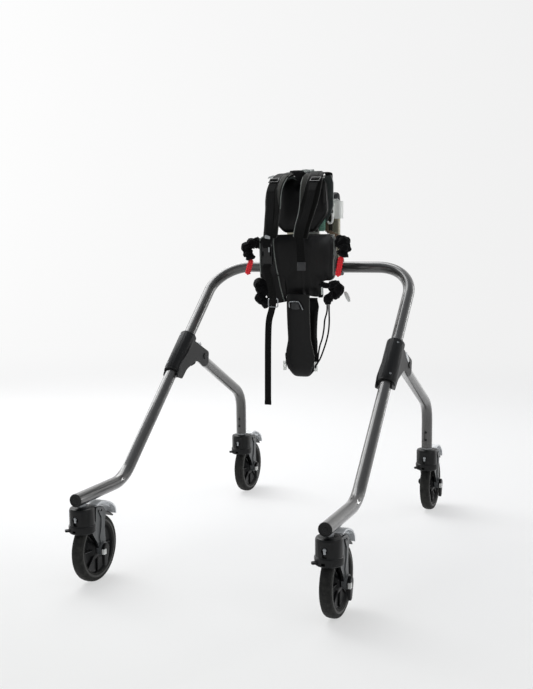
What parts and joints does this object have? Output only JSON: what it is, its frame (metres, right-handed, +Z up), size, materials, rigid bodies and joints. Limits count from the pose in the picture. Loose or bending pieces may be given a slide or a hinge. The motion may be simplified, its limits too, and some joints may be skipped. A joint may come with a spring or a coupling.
{
  "type": "gait trainer",
  "caption": "Gait trainer: open bent-tube hoop on braked swivel castors, folding rear legs, and a height-adjustable trunk unit with pads, shoulder straps and a hanging saddle.",
  "frame": {"origin": "middle of the floor plan, on the floor under the wheels", "axes": "+Z up; -Y towards the open front, where the foot rails end; +X towards the user's left hand when the user faces -Y, the right of the picture"},
  "size_m": [0.7614, 1.172, 1.1175],
  "materials": {
    "graphite_painted_tube": "satin graphite powder coat",
    "black_moulded_plastic": "fine-grained moulded black",
    "dark_grey_plastic": "satin moulded grey",
    "light_grey_plastic": "satin moulded light grey",
    "white_plastic": "satin moulded white",
    "zinc_plated_steel": "dull plated",
    "black_tyre_rubber": "matt",
    "black_vinyl_foam": "soft sheen vinyl over foam",
    "black_webbing": "woven webbing",
    "black_elastic": "gathered elastic",
    "grey_anodised_post": "satin anodised"
  },
  "bodies": {
    "frame": {"hoop_tube": "graphite_painted_tube", "tube_end_cap_left": "black_moulded_plastic", "tube_end_cap_right": "black_moulded_plastic", "joint_housing_inner_left": "black_moulded_plastic", "joint_housing_inner_right": "black_moulded_plastic", "joint_housing_outer_left": "black_moulded_plastic", "joint_housing_outer_right": "black_moulded_plastic", "leg_pivot_pin_left": "zinc_plated_steel", "leg_pivot_pin_right": "zinc_plated_steel", "castor_stem_front_left": "zinc_plated_steel", "castor_stem_front_right": "zinc_plated_steel", "crossbar_clamp": "black_moulded_plastic", "post_left": "grey_anodised_post", "post_right": "grey_anodised_post"},
    "trunk": {"height_carriage": "white_plastic", "back_shell": "dark_grey_plastic", "back_pad": "black_vinyl_foam", "pelvis_pad": "black_vinyl_foam", "shoulder_strap_left": "black_webbing", "shoulder_strap_right": "black_webbing", "ladder_buckle_left": "black_moulded_plastic", "ladder_buckle_right": "black_moulded_plastic", "side_buckle": "black_moulded_plastic", "hanging_strap": "black_webbing", "saddle_sling": "black_vinyl_foam", "saddle_clip_left": "white_plastic", "saddle_clip_right": "white_plastic", "elastic_sleeve_upper_left": "black_elastic", "elastic_sleeve_upper_right": "black_elastic", "elastic_sleeve_lower_left": "black_elastic", "elastic_sleeve_lower_right": "black_elastic", "saddle_cord": "black_elastic"},
    "clamp_knob_left": {"clamp_knob_left": "dark_grey_plastic"},
    "clamp_knob_right": {"clamp_knob_right": "dark_grey_plastic"},
    "rear_leg_left": {"rear_leg_left": "graphite_painted_tube", "castor_stem_rear_left": "zinc_plated_steel"},
    "release_lever_left": {"release_lever_left": "light_grey_plastic"},
    "rear_leg_right": {"rear_leg_right": "graphite_painted_tube", "castor_stem_rear_right": "zinc_plated_steel"},
    "release_lever_right": {"release_lever_right": "light_grey_plastic"},
    "castor_fork_front_left": {"castor_fork_front_left": "black_moulded_plastic"},
    "castor_wheel_front_left": {"castor_wheel_front_left": "black_tyre_rubber"},
    "castor_axle_front_left": {"castor_axle_front_left": "black_moulded_plastic"},
    "brake_pedal_front_left": {"brake_pedal_front_left": "light_grey_plastic"},
    "swivel_lock_front_left": {"swivel_lock_front_left": "black_moulded_plastic"},
    "castor_fork_front_right": {"castor_fork_front_right": "black_moulded_plastic"},
    "castor_wheel_front_right": {"castor_wheel_front_right": "black_tyre_rubber"},
    "castor_axle_front_right": {"castor_axle_front_right": "black_moulded_plastic"},
    "brake_pedal_front_right": {"brake_pedal_front_right": "light_grey_plastic"},
    "swivel_lock_front_right": {"swivel_lock_front_right": "black_moulded_plastic"},
    "castor_fork_rear_left": {"castor_fork_rear_left": "black_moulded_plastic"},
    "castor_wheel_rear_left": {"castor_wheel_rear_left": "black_tyre_rubber"},
    "castor_axle_rear_left": {"castor_axle_rear_left": "black_moulded_plastic"},
    "brake_pedal_rear_left": {"brake_pedal_rear_left": "light_grey_plastic"},
    "swivel_lock_rear_left": {"swivel_lock_rear_left": "black_moulded_plastic"},
    "castor_fork_rear_right": {"castor_fork_rear_right": "black_moulded_plastic"},
    "castor_wheel_rear_right": {"castor_wheel_rear_right": "black_tyre_rubber"},
    "castor_axle_rear_right": {"castor_axle_rear_right": "black_moulded_plastic"},
    "brake_pedal_rear_right": {"brake_pedal_rear_right": "light_grey_plastic"},
    "swivel_lock_rear_right": {"swivel_lock_rear_right": "black_moulded_plastic"}
  },
  "joints": [
    {"name": "trunk_height", "type": "slide", "parent": "frame", "child": "trunk", "axis": [0, 0, 1], "range_m": [-0.08, 0]},
    {"name": "clamp_knob_turn_left", "type": "hinge", "parent": "trunk", "child": "clamp_knob_left", "pos_m": [-0.0665, 0.3006, 1.01], "axis": [0, 1, 0], "range_deg": [-90, 90]},
    {"name": "clamp_knob_turn_right", "type": "hinge", "parent": "trunk", "child": "clamp_knob_right", "pos_m": [0.0665, 0.3006, 1.01], "axis": [0, 1, 0], "range_deg": [-90, 90]},
    {"name": "leg_fold_left", "type": "hinge", "parent": "frame", "child": "rear_leg_left", "pos_m": [-0.3335, 0.1164, 0.534], "axis": [1, 0, 0], "range_deg": [-70, 0]},
    {"name": "release_slide_left", "type": "slide", "parent": "frame", "child": "release_lever_left", "axis": [0, -0.7552, 0.6555], "range_m": [0, 0.008], "stiffness_N_per_m": 400, "springref_m": -0.004},
    {"name": "leg_fold_right", "type": "hinge", "parent": "frame", "child": "rear_leg_right", "pos_m": [0.3335, 0.1164, 0.534], "axis": [1, 0, 0], "range_deg": [-70, 0]},
    {"name": "release_slide_right", "type": "slide", "parent": "frame", "child": "release_lever_right", "axis": [0, -0.7552, 0.6555], "range_m": [0, 0.008], "stiffness_N_per_m": 400, "springref_m": -0.004},
    {"name": "swivel_front_left", "type": "hinge", "parent": "frame", "child": "castor_fork_front_left", "pos_m": [-0.3415, -0.5496, 0.2145], "axis": [0, 0, 1], "continuous": true},
    {"name": "wheel_spin_front_left", "type": "hinge", "parent": "castor_fork_front_left", "child": "castor_wheel_front_left", "pos_m": [-0.3415, -0.496, 0.09], "axis": [1, 0, 0], "continuous": true},
    {"name": "drag_lever_front_left", "type": "hinge", "parent": "castor_fork_front_left", "child": "castor_axle_front_left", "pos_m": [-0.3415, -0.496, 0.09], "axis": [1, 0, 0], "range_deg": [0, 30]},
    {"name": "brake_front_left", "type": "hinge", "parent": "castor_fork_front_left", "child": "brake_pedal_front_left", "pos_m": [-0.3415, -0.4996, 0.1955], "axis": [1, 0, 0], "range_deg": [-5, 0]},
    {"name": "swivel_lock_turn_front_left", "type": "hinge", "parent": "castor_fork_front_left", "child": "swivel_lock_front_left", "pos_m": [-0.3415, -0.5496, 0.1524], "axis": [0, 0, 1], "range_deg": [-12, 12]},
    {"name": "swivel_front_right", "type": "hinge", "parent": "frame", "child": "castor_fork_front_right", "pos_m": [0.3415, -0.5496, 0.2145], "axis": [0, 0, 1], "continuous": true},
    {"name": "wheel_spin_front_right", "type": "hinge", "parent": "castor_fork_front_right", "child": "castor_wheel_front_right", "pos_m": [0.3415, -0.496, 0.09], "axis": [1, 0, 0], "continuous": true},
    {"name": "drag_lever_front_right", "type": "hinge", "parent": "castor_fork_front_right", "child": "castor_axle_front_right", "pos_m": [0.3415, -0.496, 0.09], "axis": [1, 0, 0], "range_deg": [0, 30]},
    {"name": "brake_front_right", "type": "hinge", "parent": "castor_fork_front_right", "child": "brake_pedal_front_right", "pos_m": [0.3415, -0.4996, 0.1955], "axis": [1, 0, 0], "range_deg": [-5, 0]},
    {"name": "swivel_lock_turn_front_right", "type": "hinge", "parent": "castor_fork_front_right", "child": "swivel_lock_front_right", "pos_m": [0.3415, -0.5496, 0.1524], "axis": [0, 0, 1], "range_deg": [-12, 12]},
    {"name": "swivel_rear_left", "type": "hinge", "parent": "rear_leg_left", "child": "castor_fork_rear_left", "pos_m": [-0.3335, 0.4424, 0.2145], "axis": [0, 0, 1], "continuous": true},
    {"name": "wheel_spin_rear_left", "type": "hinge", "parent": "castor_fork_rear_left", "child": "castor_wheel_rear_left", "pos_m": [-0.3335, 0.496, 0.09], "axis": [1, 0, 0], "continuous": true},
    {"name": "drag_lever_rear_left", "type": "hinge", "parent": "castor_fork_rear_left", "child": "castor_axle_rear_left", "pos_m": [-0.3335, 0.496, 0.09], "axis": [1, 0, 0], "range_deg": [0, 30]},
    {"name": "brake_rear_left", "type": "hinge", "parent": "castor_fork_rear_left", "child": "brake_pedal_rear_left", "pos_m": [-0.3335, 0.4924, 0.1955], "axis": [1, 0, 0], "range_deg": [-5, 0]},
    {"name": "swivel_lock_turn_rear_left", "type": "hinge", "parent": "castor_fork_rear_left", "child": "swivel_lock_rear_left", "pos_m": [-0.3335, 0.4424, 0.1524], "axis": [0, 0, 1], "range_deg": [-12, 12]},
    {"name": "swivel_rear_right", "type": "hinge", "parent": "rear_leg_right", "child": "castor_fork_rear_right", "pos_m": [0.3335, 0.4424, 0.2145], "axis": [0, 0, 1], "continuous": true},
    {"name": "wheel_spin_rear_right", "type": "hinge", "parent": "castor_fork_rear_right", "child": "castor_wheel_rear_right", "pos_m": [0.3335, 0.496, 0.09], "axis": [1, 0, 0], "continuous": true},
    {"name": "drag_lever_rear_right", "type": "hinge", "parent": "castor_fork_rear_right", "child": "castor_axle_rear_right", "pos_m": [0.3335, 0.496, 0.09], "axis": [1, 0, 0], "range_deg": [0, 30]},
    {"name": "brake_rear_right", "type": "hinge", "parent": "castor_fork_rear_right", "child": "brake_pedal_rear_right", "pos_m": [0.3335, 0.4924, 0.1955], "axis": [1, 0, 0], "range_deg": [-5, 0]},
    {"name": "swivel_lock_turn_rear_right", "type": "hinge", "parent": "castor_fork_rear_right", "child": "swivel_lock_rear_right", "pos_m": [0.3335, 0.4424, 0.1524], "axis": [0, 0, 1], "range_deg": [-12, 12]}
  ]
}
